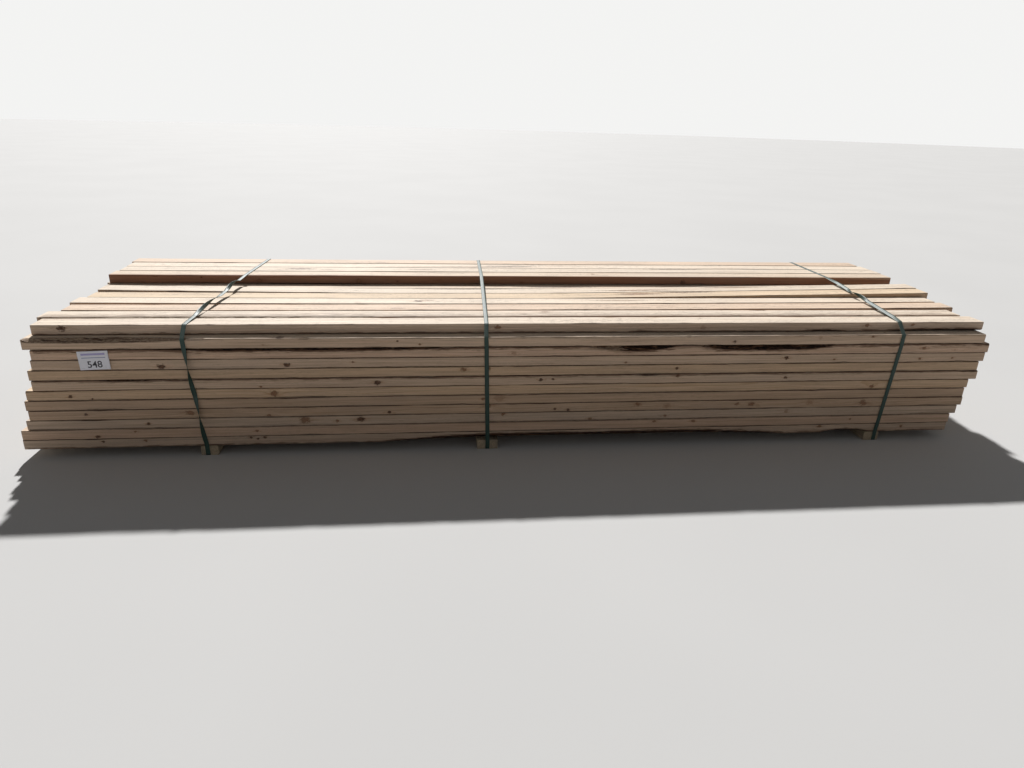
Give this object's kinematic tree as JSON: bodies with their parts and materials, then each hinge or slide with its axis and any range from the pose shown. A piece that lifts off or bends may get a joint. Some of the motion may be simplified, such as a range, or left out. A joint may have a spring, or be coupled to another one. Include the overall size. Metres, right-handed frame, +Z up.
{
  "type": "bundle of pine studs",
  "caption": "Strapped bundle of surfaced pine 2x4 studs lying flat on three wooden bearers, with a part row on top and a lot tag on one side.",
  "frame": {"origin": "on the ground, at the middle of the bundle", "axes": "+X along the studs, +Y from the tagged near face to the back, +Z up"},
  "size_m": [3.7716, 1.0765, 0.5405],
  "materials": {
    "pine": "planed, unfinished",
    "bearer_wood": "rough-sawn",
    "strap_tape": "embossed tape",
    "tag_sheet": "matt coated sheet"
  },
  "bodies": {
    "root": {"stud_row_01": "pine", "stud_row_02": "pine", "stud_row_03": "pine", "stud_row_04": "pine", "stud_row_05": "pine", "stud_row_06": "pine", "stud_row_07": "pine", "stud_row_08": "pine", "stud_row_09": "pine", "stud_row_10": "pine", "stud_row_11": "pine", "stud_row_12": "pine", "stud_row_13": "pine", "bearer_left": "bearer_wood", "bearer_middle": "bearer_wood", "bearer_right": "bearer_wood", "strap_left": "strap_tape", "strap_middle": "strap_tape", "strap_right": "strap_tape", "lot_tag": "tag_sheet"}
  },
  "joints": []
}
